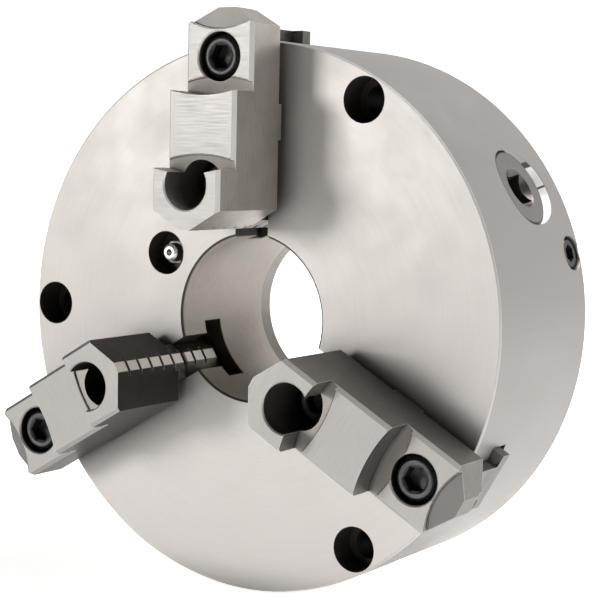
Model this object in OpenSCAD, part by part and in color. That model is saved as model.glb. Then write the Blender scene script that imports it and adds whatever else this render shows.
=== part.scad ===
// Three-jaw self-centring scroll chuck with two-piece reversible jaws.
// Frame: the chuck axis is Y, the front face looks towards -Y and the back
// mounting face lies on the plane Y = 0. Jaw 1 points up (+Z).
// Depths are measured from the front face towards the back.

/* [Body] */
// Outside diameter of the body
body_d = 200; // [200:1:206]
// Thickness of the body from front face to back face
body_t = 73; // [73:0.5:80]
// Diameter of the through bore
bore_d = 60; // [50:1:60]
// Chamfer at the front edge of the bore
bore_chamfer = 1; // [0.5:0.1:1.2]
// Bevel around the front rim
rim_chamfer = 0.6; // [0.3:0.1:0.8]
// Bevel around the back rim
back_chamfer = 1.2; // [0.5:0.1:2]
// Diameter of the recess that takes the adaptor plate
register_d = 167.5; // [167.2:0.1:168]

/* [Mounting holes] */
// Circle on which the front mounting holes lie
mount_pcd = 182; // [181:0.5:182]
// Diameter of the mounting through holes
mount_hole_d = 11; // [10:0.5:11]
// Diameter of the mounting counterbores
mount_cb_d = 16.4; // [15:0.2:16.4]
// Depth of the mounting counterbores
mount_cb_depth = 11.5; // [8:0.5:20]

/* [Jaws] */
// Width of each top jaw
jaw_w = 28; // [26:0.5:30]
// Bevel along the upper edges of the top jaw
jaw_chamfer = 1.3; // [0.5:0.1:1.5]
// Height of the inner block above the front face
step_1_h = 41.8; // [40:0.2:44]
// Height of the middle block above the front face
step_2_h = 32.7; // [31:0.2:34]
// Height of the outer block above the front face
step_3_h = 22.5; // [22:0.2:24]
// Spacing of the grooves across the gripping edge
groove_pitch = 6.7; // [6:0.1:7.4]

/* [Drive] */
// Side of the square key socket
socket_side = 11; // [9:0.5:12]
// Depth of the square key socket
socket_depth = 18; // [14:1:20]

/* [Hidden] */
$fa = 5;
$fs = 0.8;
eps = 0.02;
over = 1;
jaw_count = 3;
sector = 360 / jaw_count;

// Colours
steel = [0.78, 0.76, 0.73];
dark_steel = [0.45, 0.44, 0.43];
black_oxide = [0.12, 0.12, 0.13];
bright = [0.86, 0.85, 0.82];

// Layout
jaw_open = 32.9;
scroll_pitch = 9;
pinion_depth = 42.5;
mount_angle = 60;

// Clearances
fit = 0.05;
press = 0.01;
loose = 0.1;
head_gap = 0.25;
lug_gap = 0.3;

// T-slot and guide sizes
neck_half = 7;
neck_depth = 14;
flange_half = 11.6;
slot_depth = 24.2;

// Cavity, hub and cover
body_r = body_d / 2;
bore_r = bore_d / 2;
web_t = 19.2;
hub_r = 36.3;
cavity_r = 74.5;
cover_seat = 53;
cover_t = 6.5;
cover_pocket_r = 83;
cover_r = cover_pocket_r - loose;
boss_in_r = 36.6;
boss_out_r = 44;
boss_top = 34.3;

// Scroll plate
scroll_bore_r = hub_r + fit;
scroll_r = 74;
crest_depth = 19.4;
root_depth = 24.4;
plate_back = 28.1;
scroll_hub_end = 34;
scroll_hub_r = 43.5;
thread_w = 4.2;
thread_r0 = 38.5;
thread_turns = 3.4;
thread_step = 7.5;
groove_r0 = thread_r0 + (thread_w - scroll_pitch) / 2;

// Bevel drive: gear on the back of the scroll, pinions in the rim
gear_teeth = 54;
pinion_teeth = 9;
gear_out = 72;
gear_in = 58;
gear_phase = 30;
pitch_out = gear_out * pinion_teeth / gear_teeth;
pitch_in = gear_in * pinion_teeth / gear_teeth;
gear_tooth_angle = 2.4;
gear_up_out = 1.9;
gear_up_in = 1.5;
gear_down_out = 2.4;
gear_down_in = 1.9;
pinion_tooth_w = 2.4;
pinion_tip_out = 13.9;
pinion_tip_in = 11.2;
pinion_root_out = 9.7;
pinion_root_in = 7.8;
pinion_root_grow = 0.5;
pinion_tip_grow = 0.7;
journal_r = 14.7;
journal_in = 76;
pinion_end = 98.9;
pinion_angle = 60;
end_chamfer = 0.5;
nose_r = 5;
nose_in = 49;
lug_in = 49.5;
lug_out = 55.5;
lug_half = 8;
socket_lead = 16;
scoop_r = 16;
scoop_shift = 3.6;
scoop_depth = 5;
retain_r = 90;
retain_pin_r = 2.5;
retain_shift = 14.6;
retain_groove_r = 12;
retain_groove_w = 5.6;
retain_tip_depth = 36.5;
retain_sink = 2;
retain_hex = 2.5;
retain_hex_depth = 2.5;

// Fine adjusting screws in the rim
adjust_angle = 15;
adjust_depth = 65.5;
adjust_r = 6;
adjust_in = 84;
adjust_end = 99;
adjust_hex = 6;
adjust_chamfer = 1;

// Grease nipple in the front face
nipple_angle = 150;
nipple_pcr = 44;
nipple_cb_r = 8.1;
nipple_cb_depth = 9;
nipple_thread_r = 3;
nipple_tip_depth = 2;
nipple_tip_r = 2.2;
nipple_lip_r = 3.2;
nipple_waist_r = 2.3;
nipple_foot_r = 3.6;
nipple_lip_h = 1;
nipple_waist_h = 2.2;
nipple_neck_h = 4;
nipple_hex = 8;
nipple_seat_r = 1.3;
nipple_seat_h = 2;
nipple_duct_r = 0.8;
nipple_end_gap = 2;
ball_r = 1.2;
ball_sink = 0.9;

// Cover fixings
cover_screw_count = 6;
cover_screw_r = 77.5;
cover_head_r = 4.25;
cover_head_h = 3.5;
cover_head_sink = 0.2;
cover_hex = 4;
cover_hex_depth = 2.2;
cover_shank_r = 2.5;
cover_shank_tip = 42;
dowel_r = 2;
dowel_pcr = 79.3;
dowel_angle = 75;
dowel_front = 46;
dowel_sink = 0.5;

// Master jaws
master_out = 104;
master_top = 5.2;
master_neck_half = neck_half - fit;
master_flange_half = flange_half - loose;
master_flange_top = neck_depth + fit;
master_flange_end = 19;
tooth_end = 23.9;
tooth_half = 8;
tooth_t = 4;
tongue_half = 4;
tongue_h = 2;
key_half = 6.35;
key_h = 1.8;
tooth_first = -1;
tooth_last = 7;
tooth_from = 40;
end_bevel = 0.6;

// Top jaws
tip_half = 1.9;
v_slope = tan(30);
jaw_half = jaw_w / 2;
inner_shoulder = jaw_open + (jaw_half - tip_half) * v_slope;
apex_half = 3.5;
apex_r = 110.2;
outer_shoulder = apex_r - (jaw_half - apex_half) * v_slope;
riser_1 = 52.2;
riser_2 = 79.1;
riser_radius = 55;
riser_sag = riser_radius - sqrt(pow(riser_radius, 2) - pow(jaw_half, 2));
bevel_gap = 0.15;
relief_1 = 58.9;
relief_2 = 86.1;
relief_radius = 49;
relief_step = 0.5;
relief_drop = 1.8;
nose_relief = 102.5;
nose_radius = 29;
nose_step = 0.4;
nose_drop = 5.2;
groove_w = 1.4;
groove_depth = 0.9;
groove_count = 12;
groove_edge = 1;

// Jaw screws
screw_in_r = 48.5;
screw_out_r = 92.9;
screw_mid = (screw_in_r + screw_out_r) / 2;
screw_cb_r = 8.7;
screw_cb_edge = 0.5;
screw_head_r = 8;
screw_head_h = 10;
screw_head_top = 21.3;
screw_shank_r = 5;
screw_clear_r = 5.5;
screw_tip_depth = 18.5;
screw_hex = 8;
screw_edge = 0.8;
screw_lead = 1.2;
screw_lead_depth = 0.6;
screw_lead_in = 0.2;

// ---- helpers ----

// Flat shape drawn as seen from the front, between two depths
module slab(d1, d2) {
    translate([0, d2 - body_t, 0])
        rotate([90, 0, 0])
            linear_extrude(d2 - d1)
                children();
}

// Round bar along the chuck axis at a front-view position, between two depths
module bar_y(x, z, r, d1, d2) {
    translate([x, d1 - body_t, z])
        rotate([-90, 0, 0])
            cylinder(r = r, h = d2 - d1);
}

// Cone along the chuck axis
module cone_y(x, z, r1, r2, d1, d2) {
    translate([x, d1 - body_t, z])
        rotate([-90, 0, 0])
            cylinder(r1 = r1, r2 = r2, h = d2 - d1);
}

// Round bar that points away from the chuck axis (upwards), at a depth
module bar_out(r, from, to, depth, r_end = -1) {
    translate([0, depth - body_t, from])
        cylinder(r1 = r, r2 = r_end < 0 ? r : r_end, h = to - from);
}

// Block between two depths, centred across, from one radius to another
module block(half, from, to, d1, d2) {
    translate([-half, d1 - body_t, from])
        cube([2 * half, d2 - d1, to - from]);
}

module at_jaw(k) {
    rotate([0, -sector * (k - 1), 0])
        children();
}

module at_pinion(k) {
    rotate([0, pinion_angle - sector * (k - 1), 0])
        children();
}

module at_angle(a) {
    rotate([0, 90 - a, 0])
        children();
}

module all_jaws() {
    for (k = [1:jaw_count])
        at_jaw(k)
            children();
}

module all_pinions() {
    for (k = [1:jaw_count])
        at_pinion(k)
            children();
}

// ---- body ----

module body_blank() {
    rotate([-90, 0, 0])
        translate([0, 0, -body_t])
            rotate_extrude()
                polygon([
                    [bore_r + bore_chamfer, 0],
                    [body_r - rim_chamfer, 0],
                    [body_r, rim_chamfer],
                    [body_r, body_t - back_chamfer],
                    [body_r - back_chamfer, body_t],
                    [register_d / 2 + rim_chamfer, body_t],
                    [register_d / 2, body_t - rim_chamfer],
                    [register_d / 2, cover_seat + cover_t],
                    [cover_pocket_r, cover_seat + cover_t],
                    [cover_pocket_r, cover_seat],
                    [cavity_r, cover_seat],
                    [cavity_r, web_t],
                    [hub_r, web_t],
                    [hub_r, cover_seat],
                    [bore_r, cover_seat],
                    [bore_r, bore_chamfer]
                ]);
}

module t_slot() {
    block(neck_half, bore_r - 2 * over, body_r + over, -over, slot_depth - over);
    block(flange_half, bore_r - 4 * over, body_r + over, neck_depth, slot_depth);
}

module mount_hole() {
    bar_y(0, mount_pcd / 2, mount_cb_d / 2, -over, mount_cb_depth);
    bar_y(0, mount_pcd / 2, mount_hole_d / 2, -over, body_t + over);
}

module pinion_hole() {
    bar_out(journal_r + fit, cavity_r - 3 * over, body_r + over, pinion_depth);
    bar_out(scoop_r - scoop_depth, body_r - scoop_depth, body_r + over,
            pinion_depth + scoop_shift, scoop_r + over);
    bar_y(retain_shift, retain_r, retain_pin_r + fit, retain_tip_depth - over, body_t + over);
}

module adjust_hole() {
    bar_out(adjust_r + loose, register_d / 2 - over, body_r + over, adjust_depth);
    bar_out(adjust_r - loose, body_r - adjust_chamfer, body_r + over, adjust_depth,
            adjust_r + adjust_chamfer + over);
}

module nipple_hole() {
    bar_y(0, nipple_pcr, nipple_cb_r, -over, nipple_cb_depth);
    bar_y(0, nipple_pcr, nipple_thread_r + fit, -over, web_t + over);
}

module cover_fixing_holes(front) {
    for (k = [0:cover_screw_count - 1])
        at_angle(k * 360 / cover_screw_count)
            bar_y(0, cover_screw_r, cover_shank_r + fit, front, cover_seat + over);
    for (k = [0:jaw_count - 1])
        at_angle(dowel_angle + k * sector)
            bar_y(0, dowel_pcr, dowel_r, dowel_front - over, cover_seat + over);
}

module body() {
    color(steel)
        difference() {
            body_blank();
            all_jaws()
                t_slot();
            for (k = [0:jaw_count - 1])
                at_angle(mount_angle + k * sector)
                    mount_hole();
            all_pinions()
                pinion_hole();
            for (k = [0:jaw_count - 1])
                at_angle(adjust_angle + k * sector)
                    adjust_hole();
            at_angle(nipple_angle)
                nipple_hole();
            cover_fixing_holes(cover_shank_tip - over);
        }
}

// ---- rear cover and its fixings ----

module rear_cover() {
    color(dark_steel)
        difference() {
            union() {
                rotate([-90, 0, 0])
                    translate([0, 0, -body_t])
                        rotate_extrude()
                            polygon([
                                [boss_in_r, boss_top],
                                [boss_out_r, boss_top],
                                [boss_out_r, cover_seat],
                                [cover_r, cover_seat],
                                [cover_r, cover_seat + cover_t - rim_chamfer],
                                [cover_r - rim_chamfer, cover_seat + cover_t],
                                [bore_r, cover_seat + cover_t],
                                [bore_r, cover_seat],
                                [boss_in_r, cover_seat]
                            ]);
                all_pinions()
                    block(lug_half, lug_in, lug_out, pinion_depth - lug_half, cover_seat + over);
            }
            all_pinions() {
                bar_out(nose_r + fit, lug_in - over, lug_out + over, pinion_depth);
                bar_out(journal_r + lug_gap, lug_out, cover_r + over, pinion_depth);
            }
            for (k = [0:cover_screw_count - 1])
                at_angle(k * 360 / cover_screw_count) {
                    bar_y(0, cover_screw_r, cover_shank_r + fit, cover_seat - over, body_t);
                    bar_y(0, cover_screw_r, cover_head_r + head_gap,
                          cover_seat + cover_t - cover_head_h, body_t);
                }
            for (k = [0:jaw_count - 1])
                at_angle(dowel_angle + k * sector)
                    bar_y(0, dowel_pcr, dowel_r, cover_seat - over, body_t);
        }
}

module rear_cover_screws() {
    head_seat = cover_seat + cover_t - cover_head_h;
    head_top = cover_seat + cover_t - cover_head_sink;
    color(black_oxide)
        for (k = [0:cover_screw_count - 1])
            at_angle(k * 360 / cover_screw_count)
                difference() {
                    union() {
                        bar_y(0, cover_screw_r, cover_head_r, head_seat, head_top);
                        bar_y(0, cover_screw_r, cover_shank_r, cover_shank_tip, head_seat + eps);
                    }
                    hex_y(0, cover_screw_r, cover_hex, head_top - cover_hex_depth, body_t);
                }
}

module cover_dowels() {
    color(bright)
        for (k = [0:jaw_count - 1])
            at_angle(dowel_angle + k * sector)
                bar_y(0, dowel_pcr, dowel_r - press, dowel_front,
                      cover_seat + cover_t - dowel_sink);
}

// Hexagonal prism along the chuck axis, given across its flats
module hex_y(x, z, flats, d1, d2) {
    translate([x, d1 - body_t, z])
        rotate([-90, 0, 0])
            cylinder(r = flats / sqrt(3), h = d2 - d1, $fn = 6);
}

// ---- scroll plate ----

function polar(r, a) = [r * cos(a), r * sin(a)];
function thread_mid(a) = thread_r0 + thread_w / 2 + scroll_pitch * a / 360;

module thread_shape() {
    last = round(thread_turns * 360 / thread_step);
    outer = [for (i = [0:last]) polar(thread_mid(i * thread_step) + thread_w / 2, i * thread_step)];
    inner = [for (i = [last:-1:0]) polar(thread_mid(i * thread_step) - thread_w / 2, i * thread_step)];
    polygon(concat(outer, inner));
}

module gear_gap() {
    half = (360 / gear_teeth - gear_tooth_angle) / 2;
    r1 = gear_in - over;
    r2 = gear_out + 3 * over;
    polygon([polar(r1, -half), polar(r2, -half), polar(r2, half), polar(r1, half)]);
}

module scroll_plate() {
    color(dark_steel) {
        slab(crest_depth, root_depth + eps)
            thread_shape();
        rotate([-90, 0, 0])
            translate([0, 0, -body_t])
                rotate_extrude()
                    polygon([
                        [scroll_bore_r, root_depth],
                        [scroll_r, root_depth],
                        [scroll_r, pinion_depth - pitch_out - gear_down_out],
                        [gear_out, pinion_depth - pitch_out - gear_down_out],
                        [gear_in, pinion_depth - pitch_in - gear_down_in],
                        [gear_in - over, plate_back],
                        [scroll_hub_r, plate_back],
                        [scroll_hub_r, scroll_hub_end],
                        [scroll_bore_r, scroll_hub_end]
                    ]);
        difference() {
            rotate([-90, 0, 0])
                translate([0, 0, -body_t])
                    rotate_extrude()
                        polygon([
                            [gear_in, pinion_depth - pitch_in - gear_down_in - over],
                            [gear_out, pinion_depth - pitch_out - gear_down_out - over],
                            [gear_out, pinion_depth - pitch_out + gear_up_out],
                            [gear_in, pinion_depth - pitch_in + gear_up_in]
                        ]);
            slab(plate_back - 3 * over, pinion_depth)
                for (i = [0:gear_teeth - 1])
                    rotate(gear_phase + i * 360 / gear_teeth)
                        gear_gap();
        }
    }
}

// ---- pinions ----

module pinion() {
    color(steel)
        difference() {
            union() {
                bar_out(journal_r, journal_in, pinion_end - end_chamfer, pinion_depth);
                bar_out(journal_r, pinion_end - end_chamfer, pinion_end, pinion_depth,
                        journal_r - end_chamfer);
                bar_out(pinion_root_in, gear_in, journal_in + eps, pinion_depth,
                        pinion_root_out + pinion_root_grow);
                intersection() {
                    bar_out(pinion_tip_in, gear_in, journal_in + eps, pinion_depth,
                            pinion_tip_out + pinion_tip_grow);
                    for (i = [0:pinion_teeth - 1])
                        translate([0, pinion_depth - body_t, gear_in])
                            rotate([0, 0, -90 + i * 360 / pinion_teeth])
                                translate([0, -pinion_tooth_w / 2, 0])
                                    cube([journal_r, pinion_tooth_w, journal_in - gear_in + over]);
                }
                bar_out(nose_r, nose_in, gear_in + eps, pinion_depth);
            }
            translate([-socket_side / 2, pinion_depth - body_t - socket_side / 2,
                       pinion_end - socket_depth])
                cube([socket_side, socket_side, socket_depth + over]);
            bar_out(socket_side / 2, pinion_end - (socket_lead - socket_side) / 2, pinion_end + eps,
                    pinion_depth, socket_lead / 2);
            translate([0, pinion_depth - body_t, retain_r - retain_groove_w / 2])
                difference() {
                    cylinder(r = journal_r + over, h = retain_groove_w);
                    cylinder(r = retain_groove_r, h = retain_groove_w);
                }
        }
}

module pinion_1() {
    at_pinion(1)
        pinion();
}

module pinion_2() {
    at_pinion(2)
        pinion();
}

module pinion_3() {
    at_pinion(3)
        pinion();
}

module pinion_retaining_pins() {
    color(black_oxide)
        all_pinions()
            difference() {
                bar_y(retain_shift, retain_r, retain_pin_r, retain_tip_depth,
                      body_t - retain_sink);
                hex_y(retain_shift, retain_r, retain_hex,
                      body_t - retain_sink - retain_hex_depth, body_t);
            }
}

// ---- master jaws ----

// Jaw tooth in front view: inner face follows the widest turn of the scroll and
// the outer face follows the tightest, so it clears the thread everywhere
module tooth_shape(r) {
    tilt = scroll_pitch / (2 * PI * (thread_r0 + scroll_r) / 2) * 180 / PI;
    translate([0, r])
        rotate(-tilt)
            intersection() {
                translate([0, tooth_t / 2 - thread_r0])
                    circle(r = thread_r0);
                difference() {
                    translate([-tooth_half, -tooth_t])
                        square([2 * tooth_half, 2 * tooth_t]);
                    translate([0, -tooth_t / 2 - scroll_r])
                        circle(r = scroll_r);
                }
            }
}

// Inner end of the jaw in front view: a narrow gripping edge between two slopes
module grip_outline(half, end) {
    polygon([
        [-tip_half, jaw_open],
        [tip_half, jaw_open],
        [half, jaw_open + (half - tip_half) * v_slope],
        [half, end],
        [-half, end],
        [-half, jaw_open + (half - tip_half) * v_slope]
    ]);
}

// Grooves across the gripping edge, of those whose middle lies between two heights
module grip_grooves(low, high) {
    for (i = [1:groove_count]) {
        h = step_1_h - i * groove_pitch;
        if (h > low + groove_edge && h < high - groove_edge)
            translate([-jaw_half, -body_t - h - groove_w / 2, jaw_open - over])
                cube([jaw_w, groove_w, groove_depth + over]);
    }
}

module master_jaw(k) {
    angle = 90 + sector * (k - 1);
    first = groove_r0 + scroll_pitch * angle / 360;
    color(steel)
        difference() {
            union() {
                intersection() {
                    union() {
                        block(master_neck_half, jaw_open - over, master_out,
                              -master_top, master_flange_end);
                        block(master_flange_half, jaw_open - over, master_out,
                              master_flange_top, master_flange_end);
                        block(tongue_half, jaw_open - over, master_out,
                              -master_top - tongue_h, 0);
                    }
                    slab(-step_1_h, body_t)
                        grip_outline(jaw_half, master_out + over);
                }
                for (n = [tooth_first:tooth_last])
                    if (first + n * scroll_pitch > tooth_from
                        && first + n * scroll_pitch < master_out - tooth_t)
                        slab(master_flange_end - eps, tooth_end)
                            tooth_shape(first + n * scroll_pitch);
            }
            block(jaw_half, screw_mid - key_half - fit, screw_mid + key_half + fit,
                  -master_top - 3 * tongue_h, -master_top + key_h + fit);
            grip_grooves(-master_flange_end, master_top);
            for (r = [screw_in_r, screw_out_r])
                bar_y(0, r, screw_shank_r + fit, -master_top - 3 * tongue_h, tooth_end + over);
            for (s = [-1, 1])
                translate([0, 0, master_out])
                    rotate([0, 45 * s, 0])
                        translate([-over, -2 * body_t, master_flange_half / sqrt(2) - end_bevel])
                            cube([2 * over, 2 * body_t, over]);
        }
}

module master_jaw_1() {
    at_jaw(1)
        master_jaw(1);
}

module master_jaw_2() {
    at_jaw(2)
        master_jaw(2);
}

module master_jaw_3() {
    at_jaw(3)
        master_jaw(3);
}

// ---- top jaws ----

module jaw_outline() {
    polygon([
        [-tip_half, jaw_open],
        [tip_half, jaw_open],
        [jaw_half, inner_shoulder],
        [jaw_half, outer_shoulder],
        [apex_half, apex_r],
        [-apex_half, apex_r],
        [-jaw_half, outer_shoulder],
        [-jaw_half, inner_shoulder]
    ]);
}

// Outline that ends at a hollow riser whose middle lies at the given radius
module jaw_part(riser) {
    difference() {
        jaw_outline();
        translate([0, riser + riser_radius])
            circle(r = riser_radius);
        translate([-jaw_w, riser + riser_radius / 2])
            square([2 * jaw_w, apex_r]);
    }
}

// Bevel cutters for both upper edges of one step
module edge_bevel(from, to, top) {
    for (s = [-1, 1])
        translate([0, -body_t - top, from])
            linear_extrude(to - from)
                polygon([
                    [s * (jaw_half - jaw_chamfer - over), -over],
                    [s * (jaw_half + over), jaw_chamfer + over],
                    [s * (jaw_half + over), -over]
                ]);
}

// Sloping relief between a fine undercut at the foot of a riser and a hollow arc
module foot_relief(riser, arc, top) {
    slope = (relief_drop - relief_step) / (arc - riser);
    intersection() {
        translate([-jaw_w, -body_t, 0])
            rotate([90, 0, 90])
                linear_extrude(2 * jaw_w)
                    polygon([
                        [-top + relief_drop + slope * over, riser - over],
                        [-top + relief_step - slope * over, arc + over],
                        [-top - over, arc + over],
                        [-top - over, riser - over]
                    ]);
        slab(-top - 2 * over, -top + 2 * relief_drop)
            intersection() {
                translate([0, arc - relief_radius])
                    circle(r = relief_radius);
                translate([0, riser + riser_radius])
                    circle(r = riser_radius + loose);
            }
    }
}

// Falling relief at the outer end of the jaw
module end_relief() {
    intersection() {
        translate([-jaw_w, -body_t, 0])
            rotate([90, 0, 90])
                linear_extrude(2 * jaw_w)
                    polygon([
                        [-step_3_h + nose_step, nose_relief - over],
                        [-step_3_h + nose_drop, apex_r + over],
                        [-step_3_h - over, apex_r + over],
                        [-step_3_h - over, nose_relief - over]
                    ]);
        slab(-step_3_h - 2 * over, -step_3_h + 2 * nose_drop)
            translate([0, nose_relief + nose_radius])
                circle(r = nose_radius);
    }
}

module screw_seat(r, top) {
    bar_y(0, r, screw_clear_r, -step_1_h - over, -master_top + 2 * tongue_h);
    bar_y(0, r, screw_cb_r, -step_1_h - over, -screw_head_top + screw_head_h);
    cone_y(0, r, screw_cb_r + screw_cb_edge + over, screw_cb_r, -top - over, -top + screw_cb_edge);
}

module top_jaw() {
    color(steel)
        difference() {
            union() {
                slab(-step_3_h, -master_top)
                    jaw_outline();
                slab(-step_2_h, -step_3_h + eps)
                    jaw_part(riser_2);
                slab(-step_1_h, -step_2_h + eps)
                    jaw_part(riser_1);
                block(jaw_half, screw_mid - key_half, screw_mid + key_half,
                      -master_top - eps, -master_top + key_h);
            }
            block(tongue_half + fit, jaw_open - over, apex_r + over,
                  -master_top - tongue_h - fit, 0);
            edge_bevel(inner_shoulder - over, riser_1 + 4 * over, step_1_h);
            edge_bevel(riser_1 + riser_sag + bevel_gap, riser_2 + 4 * over, step_2_h);
            edge_bevel(riser_2 + riser_sag + bevel_gap, outer_shoulder + over, step_3_h);
            foot_relief(riser_1, relief_1, step_2_h);
            foot_relief(riser_2, relief_2, step_3_h);
            end_relief();
            screw_seat(screw_in_r, step_1_h);
            screw_seat(screw_out_r, step_3_h);
            grip_grooves(master_top + tongue_h, step_1_h);
        }
}

module top_jaw_1() {
    at_jaw(1)
        top_jaw();
}

module top_jaw_2() {
    at_jaw(2)
        top_jaw();
}

module top_jaw_3() {
    at_jaw(3)
        top_jaw();
}

// ---- jaw screws ----

module jaw_screw(r) {
    seat = -screw_head_top + screw_head_h;
    difference() {
        union() {
            cone_y(0, r, screw_head_r - screw_edge, screw_head_r,
                   -screw_head_top, -screw_head_top + screw_edge);
            bar_y(0, r, screw_head_r, -screw_head_top + screw_edge - eps, seat);
            bar_y(0, r, screw_shank_r, seat - eps, screw_tip_depth - screw_edge);
            cone_y(0, r, screw_shank_r, screw_shank_r - screw_edge,
                   screw_tip_depth - screw_edge - eps, screw_tip_depth);
        }
        hex_y(0, r, screw_hex, -screw_head_top - over, seat - screw_head_h / 2);
        cone_y(0, r, screw_hex / sqrt(3) + screw_lead, screw_hex / 2 - screw_lead_in,
               -screw_head_top - screw_lead, -screw_head_top + screw_lead_depth);
    }
}

module jaw_screws(k) {
    color(black_oxide)
        at_jaw(k) {
            jaw_screw(screw_in_r);
            jaw_screw(screw_out_r);
        }
}

module jaw_screws_1() {
    jaw_screws(1);
}

module jaw_screws_2() {
    jaw_screws(2);
}

module jaw_screws_3() {
    jaw_screws(3);
}

// ---- small parts ----

module adjusting_screws() {
    color(black_oxide)
        for (k = [0:jaw_count - 1])
            at_angle(adjust_angle + k * sector)
                difference() {
                    union() {
                        bar_out(adjust_r, adjust_in + adjust_chamfer,
                                adjust_end - adjust_chamfer, adjust_depth);
                        bar_out(adjust_r - adjust_chamfer, adjust_in,
                                adjust_in + adjust_chamfer, adjust_depth, adjust_r);
                        bar_out(adjust_r, adjust_end - adjust_chamfer,
                                adjust_end, adjust_depth, adjust_r - adjust_chamfer);
                    }
                    translate([0, adjust_depth - body_t, adjust_end - adjust_hex])
                        cylinder(r = adjust_hex / sqrt(3), h = adjust_hex + over, $fn = 6);
                }
}

module grease_nipple() {
    lip = nipple_tip_depth + nipple_lip_h;
    waist = nipple_tip_depth + nipple_waist_h;
    neck = nipple_tip_depth + nipple_neck_h;
    color(bright)
        at_angle(nipple_angle)
            difference() {
                union() {
                    cone_y(0, nipple_pcr, nipple_tip_r, nipple_lip_r, nipple_tip_depth, lip);
                    cone_y(0, nipple_pcr, nipple_lip_r, nipple_waist_r, lip, waist);
                    cone_y(0, nipple_pcr, nipple_waist_r, nipple_foot_r, waist - eps, neck);
                    hex_y(0, nipple_pcr, nipple_hex, neck - eps, nipple_cb_depth);
                    bar_y(0, nipple_pcr, nipple_thread_r - press, nipple_cb_depth - eps,
                          web_t - nipple_end_gap);
                }
                bar_y(0, nipple_pcr, nipple_seat_r, nipple_tip_depth - over,
                      nipple_tip_depth + nipple_seat_h);
                bar_y(0, nipple_pcr, nipple_duct_r, nipple_tip_depth, web_t);
            }
}

module grease_nipple_ball() {
    color(dark_steel)
        at_angle(nipple_angle)
            translate([0, nipple_tip_depth + ball_sink - body_t, nipple_pcr])
                sphere(r = ball_r);
}

body();
rear_cover();
rear_cover_screws();
cover_dowels();
scroll_plate();
pinion_1();
pinion_2();
pinion_3();
pinion_retaining_pins();
master_jaw_1();
master_jaw_2();
master_jaw_3();
top_jaw_1();
top_jaw_2();
top_jaw_3();
jaw_screws_1();
jaw_screws_2();
jaw_screws_3();
adjusting_screws();
grease_nipple();
grease_nipple_ball();
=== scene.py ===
import math

import bmesh
import bpy
from mathutils import Matrix, Vector


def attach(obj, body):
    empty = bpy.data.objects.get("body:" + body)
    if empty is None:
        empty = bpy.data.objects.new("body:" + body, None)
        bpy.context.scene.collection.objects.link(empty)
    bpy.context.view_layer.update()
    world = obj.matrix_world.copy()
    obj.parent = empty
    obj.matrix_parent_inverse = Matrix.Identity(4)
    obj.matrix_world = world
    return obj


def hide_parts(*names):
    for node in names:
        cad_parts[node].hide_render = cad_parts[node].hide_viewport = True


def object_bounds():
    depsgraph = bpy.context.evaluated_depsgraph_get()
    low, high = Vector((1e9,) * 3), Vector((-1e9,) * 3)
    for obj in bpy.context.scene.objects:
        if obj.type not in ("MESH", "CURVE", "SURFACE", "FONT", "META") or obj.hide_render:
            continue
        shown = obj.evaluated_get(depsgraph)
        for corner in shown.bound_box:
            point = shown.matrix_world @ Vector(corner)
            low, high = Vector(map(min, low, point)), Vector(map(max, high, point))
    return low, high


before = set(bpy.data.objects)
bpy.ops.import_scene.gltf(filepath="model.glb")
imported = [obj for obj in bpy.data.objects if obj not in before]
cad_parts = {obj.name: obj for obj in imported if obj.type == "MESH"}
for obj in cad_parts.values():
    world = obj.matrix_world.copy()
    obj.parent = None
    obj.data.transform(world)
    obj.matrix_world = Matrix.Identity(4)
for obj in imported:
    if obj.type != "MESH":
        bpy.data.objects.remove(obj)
cad_lo, cad_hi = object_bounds()

# ---------------------------------------------------------------- sizes (m)
BODY_T = 0.073          # chuck thickness, front face at y = -BODY_T
BODY_R = 0.100
BORE_R = 0.030
PINION_DEPTH = 0.0425   # the pinions' axes lie this far behind the front face
PINION_R = 0.0147
PINION_Y = PINION_DEPTH - BODY_T
PINION_END = 0.0989     # from the chuck's axis
SCOOP_FROM = 0.0940
SCOOP_SHIFT = 0.0036    # the scoop's middle lies behind the pinion's by this much
RIM_CHAMFER, BACK_CHAMFER = 0.0006, 0.0012
GRIP_R = 0.0329         # the jaws' gripping edges, from the chuck's axis
# the jaw screws' heads: radius, top above the front face, height
HEAD_R, HEAD_TOP, HEAD_H = 0.0080, 0.0213, 0.010
SCREW_RADII = (0.0485, 0.0929)
# centre and radius of the arcs that end the two reliefs and start the nose, along each jaw
RELIEF_ARC_R, NOSE_ARC_R = 0.049, 0.029
ARCS = [(0.0589 - RELIEF_ARC_R, RELIEF_ARC_R), (0.0861 - RELIEF_ARC_R, RELIEF_ARC_R),
        (0.1025 + NOSE_ARC_R, NOSE_ARC_R)]
JAW_ANGLE = {k: math.radians(90 + 120 * (k - 1)) for k in (1, 2, 3)}
PINION_ANGLE = {k: math.radians(30 + 120 * (k - 1)) for k in (1, 2, 3)}


# ---------------------------------------------------------------- node helpers
def new_material(name):
    m = bpy.data.materials.new(name)
    m.use_nodes = True
    nt = m.node_tree
    nt.nodes.clear()
    out = nt.nodes.new("ShaderNodeOutputMaterial")
    bsdf = nt.nodes.new("ShaderNodeBsdfPrincipled")
    nt.links.new(bsdf.outputs[0], out.inputs[0])
    return m, nt, bsdf


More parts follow.
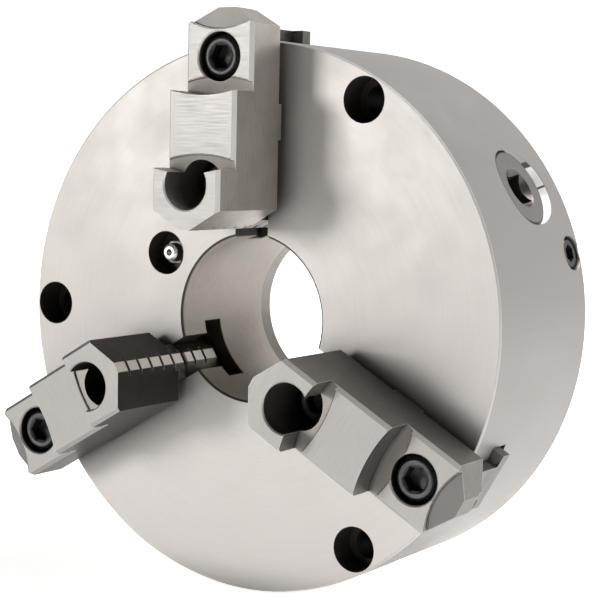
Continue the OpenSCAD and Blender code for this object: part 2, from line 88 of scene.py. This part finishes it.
class Graph:
    """Short names for the nodes that every material here uses."""

    def __init__(self, nt):
        self.nt = nt
        self.tc = nt.nodes.new("ShaderNodeTexCoord").outputs["Object"]

    def put(self, socket, value):
        if isinstance(value, bpy.types.NodeSocket):
            self.nt.links.new(value, socket)
        else:
            socket.default_value = value

    def math(self, op, a, b=0.0):
        n = self.nt.nodes.new("ShaderNodeMath")
        n.operation = op
        self.put(n.inputs[0], a)
        self.put(n.inputs[1], b)
        return n.outputs[0]

    def xyz(self, v=None):
        n = self.nt.nodes.new("ShaderNodeSeparateXYZ")
        self.put(n.inputs[0], self.tc if v is None else v)
        return n.outputs

    def vec(self, x, y, z):
        n = self.nt.nodes.new("ShaderNodeCombineXYZ")
        for s, v in zip(n.inputs, (x, y, z)):
            self.put(s, v)
        return n.outputs[0]

    def stretched(self, parts, scales):
        """Vector for a noise, with each part scaled on its own."""
        return self.vec(*(self.math("MULTIPLY", v, k) for v, k in zip(parts, scales)))

    def without(self, fac):
        return self.math("SUBTRACT", 1.0, fac)

    def times(self, fac, share):
        return self.math("MULTIPLY", fac, share)

    def noise(self, vector, scale, detail=3.0, rough=0.55):
        n = self.nt.nodes.new("ShaderNodeTexNoise")
        self.put(n.inputs["Vector"], vector)
        n.inputs["Scale"].default_value = scale
        n.inputs["Detail"].default_value = detail
        n.inputs["Roughness"].default_value = rough
        return n.outputs["Fac"]

    def ramp(self, fac, lo, hi, a=0.0, b=1.0):
        n = self.nt.nodes.new("ShaderNodeMapRange")
        n.clamp = True
        for i, v in enumerate((fac, lo, hi, a, b)):
            self.put(n.inputs[i], v)
        return n.outputs[0]

    def mix(self, fac, a, b):
        n = self.nt.nodes.new("ShaderNodeMix")
        n.data_type = "RGBA"
        self.put(n.inputs[0], fac)
        for s, v in ((n.inputs[6], a), (n.inputs[7], b)):
            self.put(s, (*v, 1.0) if isinstance(v, tuple) else v)
        return n.outputs[2]

    def bump(self, height, strength, distance):
        n = self.nt.nodes.new("ShaderNodeBump")
        n.inputs["Strength"].default_value = strength
        n.inputs["Distance"].default_value = distance
        self.put(n.inputs["Height"], height)
        return n.outputs[0]

    def edges(self, radius, lo=0.02, hi=0.25):
        """Share of 1 near a convex or concave edge, from the bevelled normal."""
        b = self.nt.nodes.new("ShaderNodeBevel")
        b.samples = 6
        b.inputs["Radius"].default_value = radius
        g = self.nt.nodes.new("ShaderNodeNewGeometry")
        d = self.nt.nodes.new("ShaderNodeVectorMath")
        d.operation = "DOT_PRODUCT"
        self.nt.links.new(b.outputs[0], d.inputs[0])
        self.nt.links.new(g.outputs["Normal"], d.inputs[1])
        return self.ramp(self.without(d.outputs["Value"]), lo, hi)

    def cavity(self, distance):
        a = self.nt.nodes.new("ShaderNodeAmbientOcclusion")
        a.samples = 8
        a.inputs["Distance"].default_value = distance
        return a.outputs["AO"]

    def hollow(self, distance, lo, hi):
        """Share of 1 deep in a corner or hole, 0 in the open."""
        return self.without(self.ramp(self.cavity(distance), lo, hi))


# ---------------------------------------------------------------- materials
# bright tone painted on chamfers and bevels as a painted highlight
BEVEL_HIGHLIGHT = (0.86, 0.84, 0.81)
# near-black painted shade for gaps between parts
GAP_SHADE = (0.02, 0.017, 0.015)
JAW_FLAT, JAW_RELIEF = (0.40, 0.385, 0.37), (0.38, 0.35, 0.325)
GUIDE_FLAT, GUIDE_RELIEF, GUIDE_SIDE = (0.20, 0.185, 0.17), (0.16, 0.148, 0.135), (0.12, 0.11, 0.10)
GUIDE_EDGE = 0.4
# painted light and shade: each jaw's bevels, sides and nose are painted lighter or darker by how the light
# falls on that jaw
BEVEL_LIGHT_SHADE = {1: BEVEL_HIGHLIGHT, 2: (0.40, 0.382, 0.362), 3: (0.46, 0.44, 0.416)}
SIDE_LIGHT_SHADE = {1: (0.40, 0.37, 0.34), 2: (0.048, 0.044, 0.040), 3: (0.13, 0.12, 0.109)}
NOSE_LIGHT_SHADE = {1: (0.88, 0.84, 0.78), 2: (0.10, 0.094, 0.087), 3: (0.17, 0.16, 0.149)}


def scaled(tone, share):
    return tuple(v * share for v in tone)


def length(g, a, b):
    return g.math("SQRT", g.math("ADD", g.math("MULTIPLY", a, a), g.math("MULTIPLY", b, b)))


def off_axis(g, angle, depth_y, x, y, z):
    """Distance along an outward radial axis, across it, and away from it."""
    ca, sa = math.cos(angle), math.sin(angle)
    along = g.math("ADD", g.math("MULTIPLY", x, ca), g.math("MULTIPLY", z, sa))
    across = g.math("SUBTRACT", g.math("MULTIPLY", x, sa), g.math("MULTIPLY", z, ca))
    dy = g.math("SUBTRACT", y, depth_y)
    return along, across, length(g, across, dy)


def both(g, *factors):
    """Product of the shares: 1 only where all of them are 1."""
    out = factors[0]
    for f in factors[1:]:
        out = g.math("MULTIPLY", out, f)
    return out


def body_steel():
    """Ground face with fine round grain, ground rim and back painted darker as painted shade, darker turned
    bore, slots painted near-black as painted shade.
    """
    m, nt, bsdf = new_material("body_ground_steel")
    g = Graph(nt)
    x, y, z = g.xyz()
    r = length(g, x, z)
    ny = g.xyz(nt.nodes["Texture Coordinate"].outputs["Normal"])[1]
    # round grinding: the radius varies fast, the place around the ring slowly
    ux, uz = g.math("DIVIDE", x, r), g.math("DIVIDE", z, r)
    face_grain = g.noise(g.stretched((r, ux, uz), (2600, 4, 4)), 1.0, 4)
    rim_grain = g.noise(g.stretched((y, ux, uz), (2200, 5, 5)), 1.0, 3)
    bore_grain = g.noise(g.stretched((y, ux, uz), (3000, 9, 9)), 1.0, 5, 0.65)
    speck = g.noise(g.tc, 900.0, 2)
    mottle = g.noise(g.tc, 60.0, 4)
    cloud = g.noise(g.tc, 12.0, 3)
    front = both(g, g.ramp(y, -BODY_T + 0.0004, -BODY_T + 0.0002), g.ramp(ny, -0.9, -0.97))
    outer = g.ramp(r, BODY_R - 0.0003, BODY_R - 0.0001)
    bore = g.ramp(r, BORE_R + 0.0004, BORE_R + 0.0001)
    back = g.ramp(y, -0.0004, -0.0002)
    inside = both(g, g.without(front), g.without(outer), g.without(bore), g.without(back))
    rim_bevel = both(g, g.ramp(r, BODY_R - RIM_CHAMFER - 0.00005, BODY_R - RIM_CHAMFER + 0.00002),
                     g.ramp(y, -BODY_T + RIM_CHAMFER + 0.0002, -BODY_T + RIM_CHAMFER))
    back_bevel = both(g, g.ramp(r, BODY_R - BACK_CHAMFER - 0.00005, BODY_R - BACK_CHAMFER + 0.00005),
                      g.ramp(y, -BACK_CHAMFER - 0.00005, -BACK_CHAMFER + 0.00005))
    c = g.mix(cloud, (0.56, 0.53, 0.505), (0.63, 0.60, 0.575))
    c = g.mix(g.ramp(face_grain, 0.35, 0.7, 0.0, 0.16), c, (0.40, 0.375, 0.35))
    # painted shade: the rim is painted much darker than the front face
    c = g.mix(outer, c, g.mix(mottle, (0.235, 0.217, 0.204), (0.275, 0.256, 0.242)))
    c = g.mix(both(g, outer, g.ramp(rim_grain, 0.35, 0.7, 0.0, 0.15)), c, (0.27, 0.25, 0.235))
    c = g.mix(bore, c, g.mix(bore_grain, (0.25, 0.226, 0.198), (0.52, 0.468, 0.416)))
    c = g.mix(both(g, bore, g.ramp(speck, 0.6, 0.75, 0.0, 0.5)), c, (0.42, 0.38, 0.32))
    # painted shade: the slots and holes inside the body are painted near-black
    c = g.mix(inside, c, g.mix(mottle, (0.022, 0.019, 0.017), (0.065, 0.057, 0.050)))
    # painted shade: the back face is painted darker than the front face, against the backdrop's light
    c = g.mix(back, c, g.mix(face_grain, (0.25, 0.235, 0.22), (0.34, 0.32, 0.30)))
    # painted highlight: the 45 degree scoop beside each pinion is painted near-white
    for a in PINION_ANGLE.values():
        along, across, away = off_axis(g, a, PINION_Y, x, y, z)
        _, _, shifted = off_axis(g, a, PINION_Y + SCOOP_SHIFT, x, y, z)
        scoop = both(g, g.ramp(along, SCOOP_FROM, SCOOP_FROM + 0.0003),
                     g.ramp(away, PINION_R + 0.0001, PINION_R + 0.0002),
                     g.ramp(shifted, 0.0172, 0.0168), g.without(outer))
        # painted shade in the gap round the pinion, an index line over the scoop's middle, and a nick at
        # its end
        ring = both(g, outer, g.ramp(away, PINION_R + 0.0004, PINION_R + 0.0003), g.ramp(along, 0.05, 0.06))
        tick = both(g, scoop, g.ramp(g.math("ABSOLUTE", across), 0.00045, 0.0003))
        nick = both(g, scoop, g.ramp(across, -0.0080, -0.0083))
        past = both(g, scoop, g.ramp(across, -0.0101, -0.0104))
        c = g.mix(scoop, c, (0.86, 0.845, 0.82))
        c = g.mix(g.math("MAXIMUM", tick, nick), c, (0.055, 0.052, 0.046))
        c = g.mix(past, c, (0.36, 0.335, 0.315))
        c = g.mix(ring, c, GAP_SHADE)
    # painted highlight: the rim's and the back's chamfers are painted bright
    c = g.mix(g.times(g.math("MAXIMUM", rim_bevel, back_bevel), 0.55), c, BEVEL_HIGHLIGHT)
    # painted shade in the body's corners and holes
    c = g.mix(g.times(g.hollow(0.003, 0.15, 0.7), 0.7), c, (0.05, 0.045, 0.04))
    # painted shadow on the front face in the corners under and beside the jaws
    c = g.mix(both(g, front, g.hollow(0.014, 0.35, 0.92), 0.85), c, (0.045, 0.04, 0.036))
    g.put(bsdf.inputs["Base Color"], c)
    bsdf.inputs["Metallic"].default_value = 0.3
    g.put(bsdf.inputs["Roughness"], g.math("ADD", g.ramp(mottle, 0.3, 0.7, 0.36, 0.44),
                                           g.times(face_grain, 0.08)))
    grain = g.math("ADD", both(g, face_grain, front), both(g, rim_grain, outer))
    grain = g.math("ADD", grain, g.times(both(g, bore, bore_grain), 2.5))
    g.put(bsdf.inputs["Normal"], g.bump(grain, 0.25, 0.00005))
    return m


def ground_jaw(angle, name, flat, relief, side, nose_light_shade, bevel_light_shade, edge=0.6):
    """Ground jaw steel: bright flats, browner reliefs, darker sides, straight grain and worn edges; the
    sides, nose and bevels carry painted light and shade that differs from jaw to jaw.
    """
    m, nt, bsdf = new_material(name)
    g = Graph(nt)
    x, y, z = g.xyz()
    nx, ny, nz = g.xyz(nt.nodes["Texture Coordinate"].outputs["Normal"])
    ca, sa = math.cos(angle), math.sin(angle)
    # u runs across the jaw and w outwards along it
    u = g.math("SUBTRACT", g.math("MULTIPLY", x, sa), g.math("MULTIPLY", z, ca))
    w = g.math("ADD", g.math("MULTIPLY", x, ca), g.math("MULTIPLY", z, sa))
    grain = g.noise(g.stretched((u, y, w), (90, 700, 2600)), 1.0, 4)
    side_grain = g.noise(g.stretched((u, y, w), (500, 2600, 110)), 1.0, 4)
    mottle = g.noise(g.tc, 110.0, 5)
    front = g.ramp(ny, -0.985, -0.993)
    slope = both(g, g.ramp(ny, -0.90, -0.95), g.without(front))
    bevel = both(g, g.ramp(ny, -0.60, -0.68), g.ramp(ny, -0.78, -0.74))
    nose = both(g, g.ramp(ny, -0.78, -0.81), g.ramp(ny, -0.95, -0.90))
    inward = g.math("ADD", g.math("MULTIPLY", nx, -ca), g.math("MULTIPLY", nz, -sa))
    grip = both(g, g.ramp(inward, 0.93, 0.97), g.ramp(w, GRIP_R + 0.0005, GRIP_R + 0.0003))
    foot = both(g, g.ramp(y, -BODY_T - 0.0014, -BODY_T - 0.0010),
                g.ramp(y, -BODY_T + 0.0006, -BODY_T + 0.0002))
    # painted light and shade: the side tone differs from jaw to jaw
    c = g.mix(g.ramp(mottle, 0.3, 0.7), side, scaled(side, 1.22))
    c = g.mix(g.ramp(side_grain, 0.4, 0.75, 0.0, 0.35), c, scaled(side, 0.6))
    c = g.mix(slope, c, g.mix(mottle, relief, scaled(relief, 0.82)))
    # painted light and shade: the nose tone differs from jaw to jaw
    c = g.mix(nose, c, g.mix(mottle, nose_light_shade, scaled(nose_light_shade, 0.76)))
    c = g.mix(front, c, g.mix(g.ramp(grain, 0.3, 0.75), flat, scaled(flat, 0.88)))
    # fine dark lines painted as shadow where the reliefs and the nose cut into the flats
    step_shadow_lines = 0.0
    for centre, radius in ARCS:
        from_centre = g.math("SUBTRACT", w, centre)
        off = g.math("ABSOLUTE", g.math("SUBTRACT", length(g, u, from_centre), radius))
        # only the side of the circle that crosses the jaw: outwards for a relief, inwards for the nose
        crossing = -radius if radius == RELIEF_ARC_R else radius
        near = g.ramp(g.math("ABSOLUTE", g.math("ADD", from_centre, crossing)), 0.0045, 0.0040)
        step_shadow_lines = g.math("MAXIMUM", step_shadow_lines, both(g, near, g.ramp(off, 0.00042, 0.00022)))
    c = g.mix(both(g, step_shadow_lines, g.ramp(ny, -0.80, -0.86)), c, (0.03, 0.026, 0.022))
    c = g.mix(grip, c, g.mix(mottle, (0.90, 0.86, 0.80), (0.74, 0.70, 0.65)))
    # painted light and shade: the bevel tone differs from jaw to jaw
    c = g.mix(g.times(bevel, 0.8), c, bevel_light_shade)
    # painted shade in the jaw's corners and holes
    c = g.mix(g.times(g.hollow(0.0025, 0.2, 0.75), 0.85), c, (0.03, 0.026, 0.023))
    c = g.mix(g.times(g.edges(0.00035), edge), c, (0.90, 0.88, 0.85))
    # painted shade on the jaw's foot, where it meets the body's face
    c = g.mix(g.times(foot, 0.85), c, GAP_SHADE)
    g.put(bsdf.inputs["Base Color"], c)
    g.put(bsdf.inputs["Metallic"], g.ramp(ny, -0.60, -0.74, 0.9, 0.4))
    g.put(bsdf.inputs["Roughness"], g.ramp(grain, 0.3, 0.75, 0.36, 0.48))
    grain = g.math("ADD", grain, g.times(side_grain, 0.7))
    g.put(bsdf.inputs["Normal"], g.bump(grain, 0.3, 0.00005))
    return m


def pinion_steel(angle, name):
    """Turned end face, with painted shade in the clearance ring at the rim and in the socket."""
    m, nt, bsdf = new_material(name)
    g = Graph(nt)
    x, y, z = g.xyz()
    along, across, away = off_axis(g, angle, PINION_Y, x, y, z)
    turned = g.noise(g.vec(g.times(away, 3200), g.times(across, 40), 0.0), 1.0, 4)
    mottle = g.noise(g.tc, 160.0, 5)
    end = g.ramp(along, PINION_END - 0.0002, PINION_END - 0.0001)
    c = g.mix(mottle, (0.06, 0.052, 0.045), (0.12, 0.108, 0.095))
    c = g.mix(end, c, g.mix(turned, (0.13, 0.12, 0.112), (0.21, 0.197, 0.184)))
    # painted shade in the socket
    c = g.mix(g.times(g.hollow(0.006, 0.25, 0.85), 0.8), c, (0.025, 0.021, 0.018))
    c = g.mix(g.times(g.edges(0.0003), 0.35), c, (0.62, 0.60, 0.56))
    # painted shade in the clearance ring at the end's rim
    ring = both(g, g.ramp(away, 0.01385, 0.01405), g.ramp(along, PINION_END - 0.0011, PINION_END - 0.0007))
    c = g.mix(ring, c, (0.014, 0.012, 0.010))
    g.put(bsdf.inputs["Base Color"], c)
    bsdf.inputs["Metallic"].default_value = 0.65
    g.put(bsdf.inputs["Roughness"], g.ramp(turned, 0.3, 0.7, 0.30, 0.42))
    g.put(bsdf.inputs["Normal"], g.bump(turned, 0.3, 0.00004))
    return m


def machined(name, lo, hi, rough=(0.32, 0.46), metallic=0.8, scale=1400.0, edge=0.5, edge_colour=None):
    """Mottled metal between two tones, with painted shade in its corners, and worn along its edges."""
    m, nt, bsdf = new_material(name)
    g = Graph(nt)
    grain = g.noise(g.tc, scale, 3)
    mottle = g.noise(g.tc, 110.0, 4)
    c = g.mix(mottle, lo, hi)
    worn = edge_colour or tuple(min(1.0, v * 1.7 + 0.06) for v in hi)
    # painted shade in the corners
    c = g.mix(g.hollow(0.003, 0.2, 0.8), c, scaled(lo, 0.15))
    c = g.mix(g.times(g.edges(0.0003), edge), c, worn)
    g.put(bsdf.inputs["Base Color"], c)
    bsdf.inputs["Metallic"].default_value = metallic
    g.put(bsdf.inputs["Roughness"], g.ramp(grain, 0.3, 0.7, *rough))
    g.put(bsdf.inputs["Normal"], g.bump(grain, 0.2, 0.00004))
    return m


def screw_steel():
    """Black oxide, with a rubbed grey face round the hexagon."""
    m, nt, bsdf = new_material("screw_black_oxide")
    g = Graph(nt)
    y = g.xyz()[1]
    grain = g.noise(g.tc, 1500.0, 4)
    patch = g.noise(g.tc, 420.0, 3)
    top = -BODY_T - HEAD_TOP
    face = both(g, g.ramp(y, top + 0.00025, top + 0.0001), g.ramp(patch, 0.3, 0.65, 0.45, 1.0))
    c = g.mix(grain, (0.008, 0.008, 0.009), (0.020, 0.020, 0.021))
    c = g.mix(face, c, g.mix(grain, (0.055, 0.054, 0.054), (0.13, 0.128, 0.125)))
    # painted shade in the hex socket and corners
    c = g.mix(g.hollow(0.004, 0.2, 0.7), c, (0.004, 0.004, 0.004))
    c = g.mix(g.times(g.edges(0.0003), 0.5), c, (0.30, 0.295, 0.29))
    g.put(bsdf.inputs["Base Color"], c)
    bsdf.inputs["Metallic"].default_value = 0.4
    g.put(bsdf.inputs["Roughness"], g.ramp(patch, 0.3, 0.7, 0.32, 0.5))
    g.put(bsdf.inputs["Normal"], g.bump(grain, 0.35, 0.00005))
    return m


def nipple_steel():
    """Bright rounded tip, darker shank behind it."""
    m, nt, bsdf = new_material("nipple_plate")
    g = Graph(nt)
    y = g.xyz()[1]
    grain = g.noise(g.tc, 1800.0, 3)
    c = g.mix(grain, (0.075, 0.068, 0.058), (0.17, 0.155, 0.135))
    c = g.mix(g.ramp(y, -0.0699, -0.0702), c, g.mix(grain, (0.80, 0.79, 0.76), (0.90, 0.89, 0.87)))
    g.put(bsdf.inputs["Base Color"], c)
    bsdf.inputs["Metallic"].default_value = 0.6
    g.put(bsdf.inputs["Roughness"], g.ramp(grain, 0.3, 0.7, 0.22, 0.34))
    g.put(bsdf.inputs["Normal"], g.bump(grain, 0.15, 0.00003))
    return m


MATS = {
    "body": body_steel(),
    "turned": machined("turned_steel", (0.17, 0.155, 0.135), (0.26, 0.24, 0.215)),
    "black": machined("black_oxide", (0.012, 0.012, 0.013), (0.030, 0.030, 0.032), rough=(0.30, 0.45),
                      metallic=0.4, scale=900.0, edge=0.55, edge_colour=(0.16, 0.155, 0.15)),
    "bright": machined("bright_plate", (0.34, 0.33, 0.31), (0.44, 0.43, 0.41), rough=(0.24, 0.34),
                       metallic=0.9),
    "nipple": nipple_steel(),
    "screw": screw_steel(),
    "ball": machined("ball_steel", (0.16, 0.155, 0.15), (0.24, 0.235, 0.23), rough=(0.12, 0.20),
                     metallic=0.9),
}
for k, a in JAW_ANGLE.items():
    MATS[f"jaw_{k}"] = ground_jaw(a, f"jaw_ground_steel_{k}", JAW_FLAT, JAW_RELIEF, SIDE_LIGHT_SHADE[k],
                                  NOSE_LIGHT_SHADE[k], BEVEL_LIGHT_SHADE[k])
    MATS[f"guide_{k}"] = ground_jaw(a, f"guide_steel_{k}", GUIDE_FLAT, GUIDE_RELIEF, GUIDE_SIDE,
                                    NOSE_LIGHT_SHADE[k], BEVEL_LIGHT_SHADE[k], GUIDE_EDGE)
for k, a in PINION_ANGLE.items():
    MATS[f"pinion_{k}"] = pinion_steel(a, f"pinion_steel_{k}")

# which material each CAD node gets
LOOK = {"body": "body", "rear_cover": "turned", "rear_cover_screws": "black", "cover_dowels": "bright",
        "scroll_plate": "turned", "pinion_retaining_pins": "black", "adjusting_screws": "black",
        "grease_nipple": "nipple", "grease_nipple_ball": "ball"}
for k in (1, 2, 3):
    LOOK[f"pinion_{k}"] = f"pinion_{k}"
    LOOK[f"master_jaw_{k}"] = f"guide_{k}"
    LOOK[f"top_jaw_{k}"] = f"jaw_{k}"
    LOOK[f"jaw_screws_{k}"] = "black"
for node, look in LOOK.items():
    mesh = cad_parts[node].data
    mesh.materials.clear()
    mesh.materials.append(MATS[look])

# ---------------------------------------------------------------- detailed jaw screws
SHANK_R, TIP_DEPTH = 0.0050, 0.0185
THREAD_PITCH, THREAD_H = 0.0015, 0.00055
HEX_HALF, HEX_DEPTH = 0.0040, 0.0050
KNURLS, KNURL_DEPTH = 40, 0.00022
AROUND = 240            # points in each ring
THREAD_STEP = THREAD_PITCH / 6
THREAD_FROM, THREAD_TO = HEAD_H + 0.0095, HEAD_H + 0.010
SHARP_ANGLE = math.radians(28)


def hex_radius(t, half):
    sixth = math.pi / 3
    return half / math.cos((t % sixth) - sixth / 2)


def screw_rings():
    """Rings from the socket's centre out over the head and down the shank.

    Each is a function for the radius at an angle, and a depth below the head's top.
    """
    def knurl(r, share):
        return lambda t: r - share * KNURL_DEPTH * (0.5 - 0.5 * math.cos(KNURLS * t)) ** 0.7

    def plain(r):
        return lambda t: r

    def socket(grow):
        return lambda t: hex_radius(t, HEX_HALF + grow)

    hexagon = [(plain(0.0003), HEX_DEPTH + 0.0008), (socket(-0.0001), HEX_DEPTH),
               (socket(0), HEX_DEPTH - 0.0002), (socket(0), 0.0008), (socket(0), 0.0005)]
    face = [(plain(0.0050), 0.0001), (plain(0.0052), 0.0), (plain(0.0060), 0.0), (plain(0.0063), 0.00008),
            (plain(0.0066), 0.00035)]
    knurled = [(knurl(0.0070, 0.6), 0.0007), (knurl(0.0076, 1.2), 0.00115), (knurl(HEAD_R, 1.0), 0.0017),
               (knurl(HEAD_R, 1.0), HEAD_H - 0.0008), (knurl(HEAD_R, 0.3), HEAD_H - 0.0003)]
    under = [(plain(HEAD_R - 0.0004), HEAD_H), (plain(SHANK_R), HEAD_H), (plain(SHANK_R), HEAD_H + 0.009)]
    rings = hexagon + face + knurled + under
    # helical thread: the ring's radius follows a sawtooth that advances one pitch a turn
    tip = HEAD_TOP + TIP_DEPTH
    steps = int((tip - THREAD_TO) / THREAD_STEP)
    for i in range(steps):
        d = THREAD_FROM + i * THREAD_STEP
        fade = min(1.0, i / 6, (steps - 1 - i) / 6)

        def thread(t, d=d, fade=fade):
            phase = (d / THREAD_PITCH - t / (2 * math.pi)) % 1.0
            return SHANK_R - fade * THREAD_H * abs(2 * phase - 1)
        rings.append((thread, d))
    rings += [(plain(SHANK_R - 0.0008), tip), (plain(0.0003), tip)]
    return rings


def screw_into(bm, centre):
    """Add one closed screw, with its head towards -Y."""
    rows = []
    for radius, depth in screw_rings():
        row = []
        for i in range(AROUND):
            t = 2 * math.pi * i / AROUND
            r = radius(t)
            row.append(bm.verts.new((centre.x + r * math.cos(t), -BODY_T - HEAD_TOP + depth,
                                     centre.z + r * math.sin(t))))
        rows.append(row)
    for a, b in zip(rows, rows[1:]):
        for i in range(AROUND):
            j = (i + 1) % AROUND
            bm.faces.new((a[i], a[j], b[j], b[i]))
    bm.faces.new(rows[0])
    bm.faces.new(list(reversed(rows[-1])))


for k, a in JAW_ANGLE.items():
    bm = bmesh.new()
    for r in SCREW_RADII:
        screw_into(bm, Vector((r * math.cos(a), 0, r * math.sin(a))))
    bmesh.ops.recalc_face_normals(bm, faces=bm.faces)
    me = bpy.data.meshes.new(f"socket_screws_{k}")
    bm.to_mesh(me)
    bm.free()
    me.materials.append(MATS["screw"])
    o = bpy.data.objects.new(f"socket_screws_{k}", me)
    bpy.context.scene.collection.objects.link(o)
    for poly in me.polygons:
        poly.use_smooth = True
    me.set_sharp_from_angle(angle=SHARP_ANGLE)
    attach(o, f"jaw_{k}")
    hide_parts(f"jaw_screws_{k}")

# ---------------------------------------------------------------- stage, light, camera
FLOOR_GAP, FLOOR_HALF, FLOOR_FRONT = 0.0002, 3.0, -2.0
SWEEP_FROM, SWEEP_R, SWEEP_STEPS = 1.2, 1.4, 24


def stage_floor():
    """Pale floor that sweeps up into a backdrop behind the chuck."""
    bm = bmesh.new()
    z = cad_lo.z - FLOOR_GAP
    turns = [math.pi / 2 * i / SWEEP_STEPS for i in range(SWEEP_STEPS + 1)]
    profile = [(FLOOR_FRONT, 0.0)] + [(SWEEP_FROM + SWEEP_R * math.sin(t), SWEEP_R - SWEEP_R * math.cos(t))
                                      for t in turns]
    rows = [[bm.verts.new((x, y, z + h)) for x in (-FLOOR_HALF, FLOOR_HALF)] for y, h in profile]
    for a, b in zip(rows, rows[1:]):
        f = bm.faces.new((a[0], a[1], b[1], b[0]))
        f.smooth = True
    me = bpy.data.meshes.new("floor")
    bm.to_mesh(me)
    bm.free()
    o = bpy.data.objects.new("floor", me)
    bpy.context.scene.collection.objects.link(o)
    m, nt, bsdf = new_material("paper_floor")
    g = Graph(nt)
    g.put(bsdf.inputs["Base Color"], g.mix(g.noise(g.tc, 8.0, 2), (0.86, 0.86, 0.855), (0.90, 0.90, 0.895)))
    bsdf.inputs["Roughness"].default_value = 0.85
    bsdf.inputs["Emission Color"].default_value = (1.0, 1.0, 0.995, 1.0)
    # the glow fades out in front, where it would fill the jaws' shadows
    g.put(bsdf.inputs["Emission Strength"], g.ramp(g.xyz()[1], -0.36, -0.16, 0.02, 0.80))
    me.materials.append(m)


def area_light(name, where, target, size, watts, colour=(1, 1, 1)):
    d = bpy.data.lights.new(name, "AREA")
    d.shape, d.size, d.energy, d.color = "SQUARE", size, watts, colour
    o = bpy.data.objects.new(name, d)
    o.location = where
    o.rotation_mode = "QUATERNION"
    o.rotation_quaternion = (Vector(target) - Vector(where)).to_track_quat("-Z", "Y")
    bpy.context.scene.collection.objects.link(o)


stage_floor()
area_light("key", (-1.20, -1.95, 0.30), (0, -0.06, 0), 0.6, 18.5, (1.0, 0.985, 0.965))
area_light("side", (1.5, -0.20, 0.10), (0, -0.04, 0), 0.6, 3.0, (0.98, 0.985, 1.0))
area_light("back", (0.5, 0.35, 1.45), (0.03, -0.02, 0.03), 0.9, 34.0)

world = bpy.data.worlds.new("studio")
bpy.context.scene.world = world
world.use_nodes = True
background = world.node_tree.nodes["Background"]
background.inputs["Color"].default_value = (1.0, 1.0, 1.0, 1.0)
background.inputs["Strength"].default_value = 0.05

CAM_AT = Vector((0.34335, -0.59108, 0.05999))
CAM_TARGET = Vector((0.01953, -0.0730, 0.00784))
ROLL = math.radians(1.145)
FOCAL_PX, IMAGE_W, SENSOR = 1721.75, 592, 36.0
back_dir = (CAM_AT - CAM_TARGET).normalized()
right = Vector((0, 0, 1)).cross(back_dir).normalized()
up = back_dir.cross(right)
right_r = right * math.cos(ROLL) + up * math.sin(ROLL)
up_r = -right * math.sin(ROLL) + up * math.cos(ROLL)
cam_data = bpy.data.cameras.new("camera")
cam_data.sensor_fit = "HORIZONTAL"
cam_data.sensor_width = SENSOR
cam_data.lens = SENSOR * FOCAL_PX / IMAGE_W
cam = bpy.data.objects.new("camera", cam_data)
bpy.context.scene.collection.objects.link(cam)
cam.matrix_world = Matrix.Translation(CAM_AT) @ Matrix((right_r, up_r, back_dir)).transposed().to_4x4()
bpy.context.scene.camera = cam
bpy.context.scene.view_settings.view_transform = "Standard"

bpy.context.view_layer.update()
